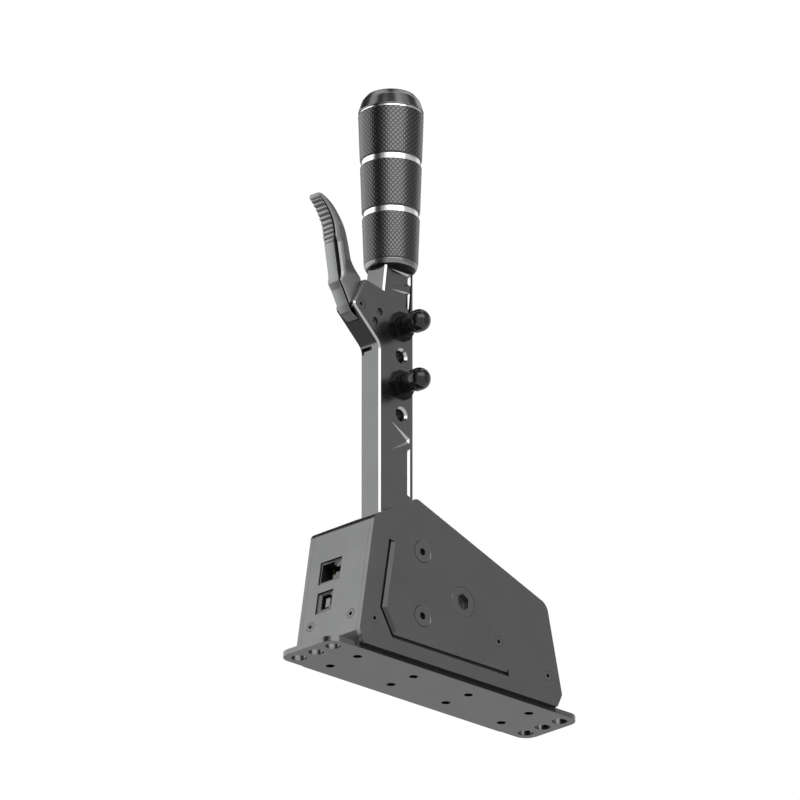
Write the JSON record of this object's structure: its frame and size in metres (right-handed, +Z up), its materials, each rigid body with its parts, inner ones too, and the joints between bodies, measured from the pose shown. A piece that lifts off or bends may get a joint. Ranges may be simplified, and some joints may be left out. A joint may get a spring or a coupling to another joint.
{
  "type": "sim racing gear shifter",
  "caption": "Bolt-down housing with a sprung sequential shift lever that carries a trigger, side push buttons and a knurled grip.",
  "frame": {"origin": "middle of the base plate's bottom face", "axes": "+Z up along the lever, -Y towards the front with the ports and the trigger, +X towards the side with the buttons"},
  "size_m": [0.0552, 0.2, 0.3562],
  "materials": {
    "plate": "satin dark grey anodised plate",
    "sheet": "satin dark grey folded sheet",
    "bar": "satin dark grey anodised bar with bright worn edges",
    "trigger": "satin grey anodised",
    "screw": "black oxide",
    "steel": "ground steel",
    "spring_steel": "spring steel",
    "aluminium": "machined aluminium",
    "bronze": "bronze bush",
    "rubber": "matt rubber",
    "board": "green circuit board",
    "chip": "black moulded plastic",
    "jack": "grey moulded plastic",
    "tongue": "pale moulded plastic",
    "gold": "gold-plated contact",
    "button": "glossy black",
    "hexagon": "satin black",
    "sleeve": "diamond-knurled dark grey",
    "bright": "bright turned aluminium",
    "dark_ring": "satin black",
    "dome": "polished near-black",
    "collar": "satin grey anodised"
  },
  "bodies": {
    "housing": {"base_frame": "plate", "side_plate_right": "plate", "side_plate_left": "plate", "cover": "sheet", "side_screws": "screw", "cover_screws": "screw", "shaft_screws": "screw", "guide_bolts": "screw", "cross_spacer": "steel", "pivot_shaft": "steel", "stop_shaft": "steel", "pivot_spacers": "aluminium", "stop_bumper": "rubber", "guide_block": "aluminium", "rod_bush": "bronze", "front_spring": "spring_steel", "rear_spring": "spring_steel", "control_board": "board", "board_standoffs": "aluminium", "board_screws": "screw", "board_chips": "chip", "flat_jack": "jack", "jack_contacts": "gold", "data_jack": "jack", "data_tongue": "tongue", "sensor_board": "board", "sensor_chip": "chip", "sensor_standoffs": "aluminium", "sensor_screws": "screw"},
    "lever": {"lever_bar": "bar", "lever_bearings": "steel", "yoke_pin": "steel", "magnet": "steel", "trigger_pin": "screw", "trigger_spring": "spring_steel", "trigger_switch": "chip", "switch_screws": "screw", "button_upper_body": "hexagon", "button_upper_spring": "spring_steel", "button_lower_body": "hexagon", "button_lower_spring": "spring_steel", "grip_end_ring": "dark_ring", "grip_collar": "collar", "grip_core": "aluminium", "sleeve_lower": "sleeve", "ring_lower": "bright", "sleeve_middle": "sleeve", "ring_middle": "bright", "sleeve_upper": "sleeve", "ring_top": "bright", "grip_cap": "dome", "grip_bolt": "steel"},
    "rod": {"spring_rod": "steel", "rod_nuts": "screw"},
    "trigger": {"trigger": "trigger"},
    "button_upper": {"button_upper_cap": "button"},
    "button_lower": {"button_lower_cap": "button"}
  },
  "joints": [
    {"name": "lever_swing", "type": "hinge", "parent": "housing", "child": "lever", "pos_m": [0, -0.0312, 0.0694], "axis": [1, 0, 0], "range_deg": [-5, 5], "stiffness_Nm_per_rad": 120},
    {"name": "rod_slide", "type": "slide", "parent": "housing", "child": "rod", "axis": [0, 1, 0], "range_m": [-0.00196, 0.00196], "deforming": ["front_spring", "rear_spring"]},
    {"name": "trigger_pull", "type": "hinge", "parent": "lever", "child": "trigger", "pos_m": [0, -0.0627, 0.2179], "axis": [-1, 0, 0], "range_deg": [0, 14], "stiffness_Nm_per_rad": 1, "springref_deg": -11.46},
    {"name": "button_upper_press", "type": "slide", "parent": "lever", "child": "button_upper", "axis": [-1, 0, 0], "range_m": [0, 0.0015], "stiffness_N_per_m": 700, "springref_m": -0.0015, "deforming": ["button_upper_spring"]},
    {"name": "button_lower_press", "type": "slide", "parent": "lever", "child": "button_lower", "axis": [-1, 0, 0], "range_m": [0, 0.0015], "stiffness_N_per_m": 700, "springref_m": -0.0015, "deforming": ["button_lower_spring"]}
  ],
  "couplings": [
    {"joint": "rod_slide", "follows": "lever_swing", "m_per_rad": 0.0223}
  ]
}
